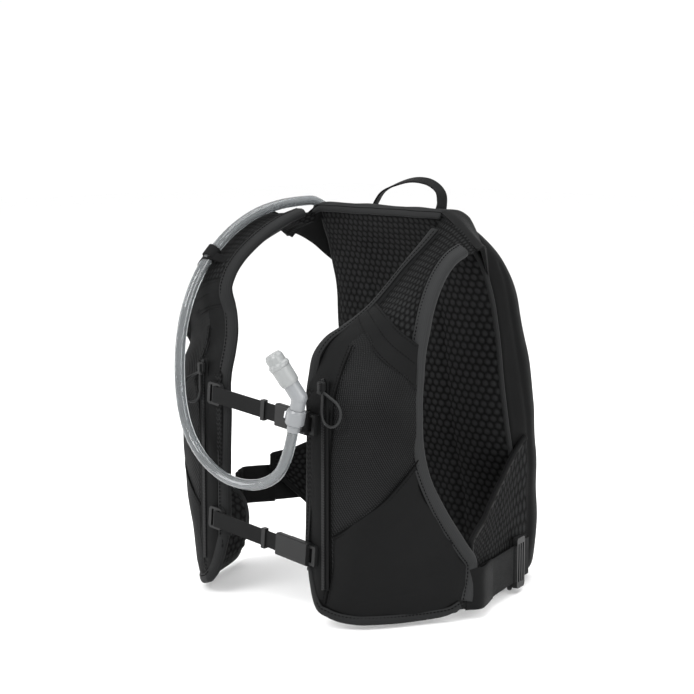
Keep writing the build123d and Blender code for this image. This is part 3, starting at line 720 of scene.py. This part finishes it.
def bindings(cut):
    """Tapes folded round the edges, each with stitches and a thin dark strip of painted shadow
    beside it.
    """
    h, name = cut.h, cut.name
    across = np.linspace(0.0, 1.0, 160)
    # label, share across, share along, width of the tape, look, where its painted shadow strip and
    # stitches start
    for label, us, ws, wide, mat, first in (
        ("neck_binding", np.zeros(200), np.linspace(0.135, 1.0, 200), 11.0, TAPE, 0),
        ("armhole_binding", np.ones(200), np.linspace(0.045, 1.0, 200), 13.0, ARM_TAPE, 0),
        ("foot_binding", across, cut.foot(across), 9.0, TAPE, 40),
    ):
        p, m = h.at(us, ws)
        p, m = spline(p[::10], len(p)), unit(spline(m[::10], len(p)))
        cross = unit(np.cross(np.gradient(p, axis=0), m))
        middle, _ = h.at(np.full(len(us), 0.5), np.clip(ws + 0.02, 0, 1))
        flip = np.sign(np.einsum("ij,ij->i", cross, p - middle).mean())
        profile = capsule_profile(-wide, 1.0, TAPE_HALF)
        if flip < 0:
            profile = [(-a, b) for a, b in profile][::-1]
        sweep(f"{name}_{label}", p - m * 1.4, m, profile, mat)
        # Painted shadow: a thin dark strip laid on the cloth beside the tape, standing in for the
        # shade of the seam there.
        painted_shadow = p + m * 1.7 - flip * cross * (wide + 0.8)
        sweep(f"{name}_{label}_groove", painted_shadow[first:], m[first:], SEAM_PROFILE, THREAD_AND_SHADOW)
        thread = p + m * (TAPE_HALF - 1.3) - flip * cross * (wide - 2.0)
        stitches(f"{name}_{label}_stitch", thread[first:], m[first:], 3.6, 2.5, 0.62)


def cloth_seams(cut):
    """Sunk seams between the cloths, each with a row of stitches on either side."""
    h, name = cut.h, cut.name
    b = np.linspace(0.02, 1, 120)
    upright = cut.strip_edge(b)
    diagonal = np.linspace(cut.u_low, 0.95, 90)
    for label, us, ws, lift in (
        ("upright", upright, cut.above_foot(upright) * (1 - b) + cut.pocket_top(upright) * b, 1.5),
        ("diagonal", diagonal, cut.slant(diagonal), 1.9),
    ):
        p, m = h.at(us, ws)
        p, m = spline(p[::8], 120), unit(spline(m[::8], 120))
        sweep(f"{name}_{label}_seam", p + m * lift, m, SEAM_PROFILE, THREAD_AND_SHADOW)
        side = unit(np.cross(np.gradient(p, axis=0), m))
        for k, shift in enumerate((-3.0, 3.0)):
            stitches(f"{name}_{label}_stitch_{k}", p + m * (lift + 0.4) + side * shift, m)


for h in (Harness(1, LEFT_SHOULDER), Harness(-1, RIGHT_SHOULDER)):
    cut = Cut(h)
    for make in (pad_piece, knit_pocket, lower_pocket, front_strip, strap_patch, bindings,
                 cloth_seams):
        make(cut)


# ---------------------------------------------------------------- zips and rails
ZIP_X, ZIP_Y = 85.0, -116.6
RAIL_X, RAIL_Y = 66.5, -114.4
FORWARD = (0.0, -1.0, 0.0)
CHAIN_HALF = 2.0                  # half width of a zip chain
TOOTH_PITCH = 1.5


def box_piece(name, boxes, mat, body="pack", place=None):
    """Small blocks in one mesh; each is (centre, half sizes)."""
    verts, faces = [], []
    for c, s in boxes:
        base = len(verts)
        for z in (-1, 1):
            for x, y in ((-1, -1), (1, -1), (1, 1), (-1, 1)):
                verts.append((c[0] + x * s[0], c[1] + y * s[1], c[2] + z * s[2]))
        faces += [(base + a, base + b, base + c2, base + d) for a, b, c2, d in (
            (0, 3, 2, 1), (4, 5, 6, 7), (0, 1, 5, 4), (1, 2, 6, 5), (2, 3, 7, 6), (3, 0, 4, 7))]
    verts = np.array(verts, float)
    if place is not None:
        verts = place(verts)
    return build(name, verts, faces, verts[:, :2], mat, body, smooth=False)


def zip_run(name, start, end, facing, tape=12.0):
    """Zip tape and two rows of teeth between two points."""
    start, end, facing = (np.array(v, float) for v in (start, end, facing))
    path = spline([start, end], 60)
    sweep(f"{name}_tape", path - unit(facing) * 0.9, steady(unit(facing), 60),
          flat_profile(tape, 0.9, 0.3), SMOOTH)
    along = unit(end - start)
    side = unit(np.cross(along, facing))
    boxes = []
    for k in range(int(np.linalg.norm(end - start) / TOOTH_PITCH)):
        for s in (-1, 1):
            at = (k + 0.25 * (1 + s)) * TOOTH_PITCH
            boxes.append(((s * CHAIN_HALF * 0.45, at, 1.0), (CHAIN_HALF * 0.55, 0.45, 0.55)))

    def place(v):
        return start + side * v[:, :1] + along * v[:, 1:2] + unit(facing) * v[:, 2:]

    return box_piece(f"{name}_teeth", boxes, ZIP_PLASTIC, place=place)


def pocket_zip(s):
    name = side_name(s)
    teeth = zip_run(f"{name}_zip", (s * ZIP_X, ZIP_Y + 1.0, 38), (s * ZIP_X, ZIP_Y + 1.0, 240),
                    FORWARD)
    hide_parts(f"{name}_pocket_zip")


def pull_loop(s):
    """A thick cord loop that hangs from the slider, swung out towards the armhole."""
    name = side_name(s)
    down = np.array([(5.4, -12), (11.2, -21), (12.6, -29), (8.0, -36)])
    tear = np.vstack([(0, -4), down, (0, -38.5), down[::-1] * (-1, 1), (0, -4)])
    c, w = math.cos(math.radians(32)), math.sin(math.radians(32))
    x = tear[:, 0] * c - tear[:, 1] * w
    z = tear[:, 0] * w + tear[:, 1] * c
    y = ZIP_Y - 2.0 - 1.2 * np.sin(np.linspace(0, math.pi, len(tear)))
    path = spline(np.stack([s * (ZIP_X + x), y, 230 + z], axis=1), 90)
    cord = sweep(f"{name}_pull_loop", path, steady(FORWARD, 90), round_profile(1.35), PULL,
                 f"{name}_pull")
    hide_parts(f"{name}_pocket_pull")
    box_piece(f"{name}_slider_bridge", [((s * ZIP_X, ZIP_Y - 4.6, 230.5), (1.4, 1.0, 4.2)),
                                        ((s * ZIP_X, ZIP_Y - 4.0, 226.0), (2.6, 1.4, 1.0))],
              ZIP_PLASTIC, f"{name}_pull")


def strap_rail(s):
    """The straight webbing on which the chest straps slide."""
    name = side_name(s)
    path = spline([(s * RAIL_X, RAIL_Y + 1.4, 52), (s * RAIL_X, RAIL_Y + 1.4, 226)], 120)
    rail = sweep(f"{name}_rail", path, steady(FORWARD, 120), flat_profile(12.0, 1.4), RAIL_WEB)
    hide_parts(f"{name}_strap_rail")


for s in (1, -1):
    pocket_zip(s)
    pull_loop(s)
    strap_rail(s)


# ---------------------------------------------------------------- bag, back panel and yoke
BAG = [                   # height, half width, front face, rear face
    (0.6, 60, 143, 152), (1.0, 90, 137, 162), (7.0, 103, 134.6, 170), (22, 113, 136, 180),
    (88, 115, 133, 184), (158, 115, 117, 180), (210, 113, 109, 174), (262, 111, 103, 165),
    (303, 108, 96, 154), (337, 103, 84, 136), (362, 94, 68, 106), (374, 80, 58, 82),
    (376, 60, 64, 74),
]


def bag_loop(height, half, front, rear, count=240):
    """Rounded outline of the bag at one height, from the middle of its front face."""
    depth = rear - front
    soft = min(38.0, 0.72 * depth, 0.9 * half)
    hard = min(5.0, 0.2 * depth)
    corners = [(half - hard, front + hard, hard, -90), (half - soft, rear - soft, soft, 0),
               (soft - half, rear - soft, soft, 90), (hard - half, front + hard, hard, 180)]
    points = [(0.0, front)]
    for x, y, r, a in corners:
        for t in np.radians(np.linspace(a, a + 90, 12)):
            points.append((x + r * math.cos(t), y + r * math.sin(t)))
    points.append((0.0, front))
    p = np.array(points)
    run = np.concatenate([[0], np.cumsum(np.linalg.norm(np.diff(p, axis=0), axis=1))])
    at = np.linspace(0, run[-1], count)
    return np.stack([np.interp(at, run, p[:, 0]), np.interp(at, run, p[:, 1]),
                     np.full(count, height)], axis=1)


def bag_skin():
    """The bag's crumpled skin, with its seams pressed in."""
    grid = loft([bag_loop(*row) for row in BAG], 150)
    n = grid_normals(grid)
    grid = crumple(grid, n, 2.4, 46.0, 1.0)
    for s in (-1, 1):
        rear_seam = [(s * 88, 178, 4), (s * 96, 176, 90), (s * 95, 170, 190), (s * 88, 152, 290),
                     (s * 70, 112, 358)]
        grid = crease(grid, n, rear_seam, 2.2, 5.0)
        side_seam = [(s * 113, 142, 8), (s * 116, 150, 90), (s * 114, 138, 210),
                     (s * 104, 112, 330)]
        grid = crease(grid, n, side_seam, 1.4, 4.0)
    grid[..., 2] = np.maximum(grid[..., 2], BAG[0][0])
    return grid


bag_grid = bag_skin()
bag = shell("bag", bag_grid, 0.6, 0.9, RIPSTOP, closed=True)
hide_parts("bag_shell")

BACK_ROWS = [             # height, half width, front face
    (6, 98, 126), (22, 111, 124.4), (88, 114, 121.2), (158, 114, 105.2), (210, 112, 97.2),
    (262, 110, 91.2), (303, 107, 84.2), (337, 103, 72.2), (360, 96, 56.5), (374, 91, 47.5),
    (383, 88.5, 42.5),
]
SHARE = np.linspace(-1, 1, 121)       # shares across, from the wearer's right to the left


def back_panel():
    """Spacer mesh quilted by two upright channels, wrapping to the bag's front edges."""
    grid = loft([np.stack([half * SHARE, y + 9.0 * abs(SHARE) ** 7, np.full(121, float(z))], axis=1)
                 for z, half, y in BACK_ROWS], 200)
    n = grid_normals(grid)
    grid = crumple(grid, n, 1.6, 40.0, 8.0)
    channel = 2.4 * np.exp(-((abs(SHARE) - 0.42) / 0.05) ** 2)
    fade = np.clip((330 - grid[..., 2]) / 60, 0, 1)
    grid = grid - n * (channel * fade)[..., None]
    panel = shell("back_mesh", grid, 1.0, 8.0, WIDE_MESH)
    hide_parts("back_panel")
    for s in (-1, 1):
        edge = spline(grid[::8, 0 if s < 0 else -1], 160)
        sweep(f"{side_name(s)}_back_piping", edge + (s * 0.5, 0.5, 0),
              steady((s * 0.7, -0.7, 0.0), 160), round_profile(2.6), TAPE)


def yoke():
    """Smooth cloth from the collar back over the bag's top and out to the straps."""
    cols = []
    for x in np.linspace(-134, 134, 91):
        out = min(max(0.0, abs(x) - 86.0) / 46.0, 1.0)
        drop, pull = 33.0 * out**1.1, 1 - 0.16 * out
        cols.append(spline([
            (x, 42.5, 384.0 - drop), (x, 54, 386.5 - drop),
            (x * (1 + pull) / 2, 70, 384.5 - 1.25 * drop), (x * pull, 84, 377.5 - 1.5 * drop),
            (x * pull * 0.94, 96, 368.5 - 1.6 * drop),
        ], 40))
    grid = np.array(cols).transpose(1, 0, 2)
    grid = crumple(grid, grid_normals(grid), 1.0, 24.0, 3.0)
    cloth = shell("yoke_cloth", grid, 0.8, 2.0, SMOOTH)
    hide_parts("yoke")
    edge = spline(grid[0, 14:-14:4], 160)
    way = steady((0.0, -0.8, 0.6), 160)
    sweep("collar_binding", edge + (0, 0.6, -1.5), way,
          [(4.6, -1.6), (5.2, 0), (4.6, 1.6), (-4.6, 1.6), (-5.2, 0), (-4.6, -1.6)], TAPE)
    stitches("collar_stitch", edge + (0, -0.9, -4.2), way, 2.8, 1.9)


LOOP = [(-45, 87, 381), (-43.5, 88, 387), (-36, 91, 398), (-20, 96, 406), (0, 98, 410.5),
        (20, 99, 408.5), (36, 97, 400), (42.5, 92, 388), (43.5, 88, 381)]


def haul_loop():
    """Flat webbing, a little twisted at its left end; its sewn feet stay with the pack."""
    path = spline(LOOP, 90)
    twist = 0.35 - 1.1 * np.clip(np.linspace(0, 1, 90)[:, None] - 0.62, 0, 1)
    out = unit(np.stack([path[:, 0], 0 * path[:, 0], path[:, 2] - 365], axis=1))
    loop = sweep("haul_webbing", path, unit(out + np.array(FORWARD) * twist),
                 flat_profile(13.0, 1.8, 0.7), WEB, None)
    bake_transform(loop)
    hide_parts("haul_loop")
    for s in (-1, 1):
        foot = spline([(s * 45, 80, 380), (s * 45, 88, 377.5), (s * 45, 97, 372)], 20)
        sweep(f"haul_tab_{side_name(s)}", foot, steady((0, 0.4, 0.9), 20), flat_profile(16, 1.6),
              WEB)


back_panel()
yoke()
haul_loop()

# ---------------------------------------------------------------- sides


def plan_band(points, s, low, high, count=80, rise=10):
    """An upright band over a plan curve, between two heights at each end of it."""
    path = spline([(s * x, y, 0) for x, y in points], count)
    t = np.linspace(0, 1, count)
    grid = np.repeat(path[None], rise, 0)
    lo, hi = np.interp(t, *low), np.interp(t, *high)
    k = np.linspace(0, 1, rise)[:, None]
    grid[..., 2] = lo + (hi - lo) * k
    return grid if s > 0 else grid[:, ::-1]


# Plan points (x, y) from the armhole back to the bag; the fins' own differ from side to side.
STRAP_PLAN = [(159, -10), (164, 0), (169.5, 15), (155, 46), (145, 74), (137.2, 98),
              (134.8, 106)]
FIN_PLAN = {1: [(162, 6), (152, 34), (138, 72), (123, 112), (117, 140)],
            -1: [(150, 36), (140, 62), (130, 90), (123, 112), (117, 140)]}
FIN_HIGH = {1: (76, 92, 128, 154), -1: (112, 116, 132, 154)}


def side_fin(s, low):
    """Mesh wing between the strap and the bag, bound along its top, front and foot."""
    name = side_name(s)
    grid = plan_band(FIN_PLAN[s], s, ((0, 0.5, 1), (low + 36, 44, 36)),
                     ((0, 0.25, 0.7, 1), FIN_HIGH[s]), 90, 60)
    grid = crumple(grid, grid_normals(grid), 1.6, 28.0, 6.0 * s)
    fin = shell(f"{name}_fin_mesh", grid, 1.5, 2.6, WIDE_MESH)
    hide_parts(f"{name}_side_fin")
    rims = []
    for g in (grid, grid_normals(grid)):
        g = g[:, ::s]
        rims.append(np.vstack([g[-1, ::-1], g[::-1, 0][1:], g[0][1:]]))
    rim, rim_n = spline(rims[0][::6], 220), unit(spline(rims[1][::6], 220))
    sweep(f"{name}_fin_binding", rim - rim_n * 0.5, rim_n,
          [(2.4, -2.6), (2.8, 0), (2.4, 2.0), (-2.4, 2.0), (-2.8, 0), (-2.4, -2.6)], SMOOTH)


def side_strap(s, middle):
    """Wide webbing from the armhole binding to the ladder lock, with a sewn sleeve."""
    name = side_name(s)

    def outward(path):
        return unit(np.cross(np.gradient(path, axis=0), (0, 0, -s)))

    path = spline([(s * x, y, middle) for x, y in STRAP_PLAN], 120)
    out = outward(path)
    strap = sweep(f"{name}_strap_web", path, out, flat_profile(38.0, 1.6), WEB)
    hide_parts(f"{name}_side_strap")
    sweep(f"{name}_strap_sleeve", path[8:58] - out[8:58] * 0.6, out[8:58],
          flat_profile(41.0, 3.0, 1.2), SMOOTH)
    seam = path[53] + np.linspace((0, 0, -19), (0, 0, 19), 12)
    stitches(f"{name}_sleeve_stitch", seam + out[53] * 2.6, steady(out[53], 12))
    wrap = spline([(s * 137, 99, middle), (s * 137.2, 103, middle), (s * 134, 108, middle)], 20)
    sweep(f"{name}_lock_wrap", wrap, outward(wrap), flat_profile(37.0, 1.6), WEB)


for s, low in ((1, 12.0), (-1, 60.0)):
    side_fin(s, low)
    side_strap(s, low + 19)

# ---------------------------------------------------------------- hose
# In metres in the row frame, from the port to the valve collar.
ROUTE = [
    (-0.0937, 0.0611, 0.3597), (-0.1040, 0.0335, 0.3880), (-0.1065, 0.0060, 0.3880),
    (-0.1085, -0.0270, 0.3850), (-0.1100, -0.0610, 0.3755), (-0.1110, -0.0950, 0.3560),
    (-0.1120, -0.1280, 0.3240), (-0.1130, -0.1490, 0.2790), (-0.1110, -0.1570, 0.2290),
    (-0.1030, -0.1595, 0.1830), (-0.0820, -0.1605, 0.1500), (-0.0460, -0.1620, 0.1300),
    (-0.0060, -0.1650, 0.1260), (0.0330, -0.1675, 0.1350), (0.0585, -0.1690, 0.1560),
    (0.0680, -0.1695, 0.1900),
]
HOSE_LENGTH, HOSE_DIAMETER, BORE_RADIUS = 0.592, 0.0105, 0.0034


def hose_curve(name, radius, mat):
    """A tube of the given radius along the whole route."""
    curve = bpy.data.curves.new(name, "CURVE")
    curve.dimensions = "3D"
    line = curve.splines.new("NURBS")
    line.points.add(len(ROUTE) - 1)
    for point, co in zip(line.points, ROUTE):
        point.co = (*co, 1.0)
    line.order_u = 3
    line.use_endpoint_u = True
    line.resolution_u = 12
    curve.bevel_depth = radius
    curve.bevel_resolution = 8
    curve.use_fill_caps = True
    curve.materials.append(mat)
    tube = bpy.data.objects.new(name, curve)
    scene.collection.objects.link(tube)
    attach(tube, "pack")
    return tube


def hose_band():
    """Elastic band that ties the hose to the right shoulder strap."""
    down, above = np.array((0.0, -0.72, -0.70)), np.array((0.0, -0.70, 0.72))
    bow = ((27, -7.5), (14, -5.5), (7, 2.5), (0, 6.2), (-7, 2.5), (-13, -5.0), (-19, -9.5))
    path = spline([np.array((-112.0, -84.0, 333.0)) + (x, 0, 0) + above * h - down * 0.5 * x
                   for x, h in bow], 70)
    n = unit(np.cross(down, np.gradient(path, axis=0)))
    sweep("hose_band", path, n * np.sign(n.dot(above))[:, None], flat_profile(9.0, 1.2), WEB)


hose = hose_curve("drinking_hose", HOSE_DIAMETER / 2, HOSE)
bore = hose_curve("hose_bore", BORE_RADIUS, BORE)
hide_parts("hose")
hose_band()

# ---------------------------------------------------------------- rear of the bag
REAR_ROWS = ((26, 182), (60, 186), (100, 187), (150, 184), (190, 179.5), (222, 174))  # height, face


def rear_pocket():
    """Stretch pocket laid on the bag, bound along its top and both sides."""
    grid = loft([np.stack([70 * SHARE, y + 2.2 - 4.0 * abs(SHARE) ** 8, np.full(121, float(z))],
                          axis=1) for z, y in REAR_ROWS], 120)[:, ::-1]
    grid = crumple(grid, grid_normals(grid), 2.0, 30.0, 12.0)
    pocket = shell("rear_pocket_cloth", grid, 0.8, 3.0, STRETCH)
    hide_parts("rear_pocket")
    way = steady((0.0, 1.0, 0.1), 90)
    for label, line in (("top", grid[-1]), ("left", grid[:, 0]), ("right", grid[:, -1])):
        p = spline(line[::6], 90)
        sweep(f"rear_pocket_{label}_binding", p + (0, 0.8, 0), way, flat_profile(8.0, 1.4), TAPE)
        stitches(f"rear_pocket_{label}_stitch", p + (0, 2.2, 0), way, 3.4, 2.2, 0.4)


def main_pull(s):
    """Cord tab on one of the main zip's sliders."""
    tab = spline([(s * 14, 162.5, 296), (s * 20, 164.5, 292), (s * 27, 163.5, 286)], 30)
    sweep(f"main_pull_{side_name(s)}", tab, steady((0.0, 0.95, 0.25), 30), flat_profile(6.0, 1.6),
          PULL, f"main_{side_name(s)}_slider")


def bag_piping(s):
    """Piping and stitches along the rear seam, laid on the bag's skin."""
    path = spline([(s * 88, 178, 6), (s * 96, 177, 60), (s * 97, 176, 130), (s * 94, 169, 200),
                   (s * 88, 153, 290), (s * 72, 118, 350)], 160)
    skin, skin_n = bag_grid.reshape(-1, 3), grid_normals(bag_grid).reshape(-1, 3)
    near = [np.argmin(((skin - p) ** 2).sum(1)) for p in path]
    p, m = spline(skin[near][::10], 160), unit(spline(skin_n[near][::10], 160))
    sweep(f"bag_{side_name(s)}_piping", p + m * 0.6, m, round_profile(1.9), TAPE)
    stitches(f"bag_{side_name(s)}_stitch", p + m * 0.9 - (s * 4, 0, 0), m, 3.4, 2.2, 0.4)


rear_pocket()
main_zip = zip_run("main_zip", (-66, 158.4, 296), (66, 158.4, 296), (0, 0.966, 0.259), tape=16.0)
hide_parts("main_zip")
for s in (1, -1):
    main_pull(s)
    bag_piping(s)

# ---------------------------------------------------------------- looks of the CAD pieces
CAD_LOOKS = {
    "black_plastic": PLASTIC, "zip_plastic": ZIP_PLASTIC, "pull_cord": PULL,
    "frosted_plastic": FROSTED, "white_plastic": WHITE, "soft_rubber": RUBBER,
    "clear_film": FILM, "clear_hose": HOSE, "webbing": WEB, "air_mesh": AIR_MESH,
    "stretch_mesh": STRETCH, "shell_fabric": SMOOTH,
}
for sub in frame["record"]["subparts"]:
    node = frame["nodes"][sub["node"]]
    look = CAD_LOOKS[sub["material_slot"]]
    node.data.materials.clear()
    node.data.materials.append(look)

# ---------------------------------------------------------------- floor
floor_mesh = bpy.data.meshes.new("floor")
floor_mesh.from_pydata([(-6, -6, 0), (6, -6, 0), (6, 6, 0), (-6, 6, 0)], [], [(0, 1, 2, 3)])
floor = bpy.data.objects.new("floor", floor_mesh)
scene.collection.objects.link(floor)
pale = bpy.data.materials.new("floor")
pale.use_nodes = True
pale.node_tree.nodes["Principled BSDF"].inputs["Base Color"].default_value = (0.97, 0.97, 0.97, 1)
pale.node_tree.nodes["Principled BSDF"].inputs["Roughness"].default_value = 0.9
floor_mesh.materials.append(pale)
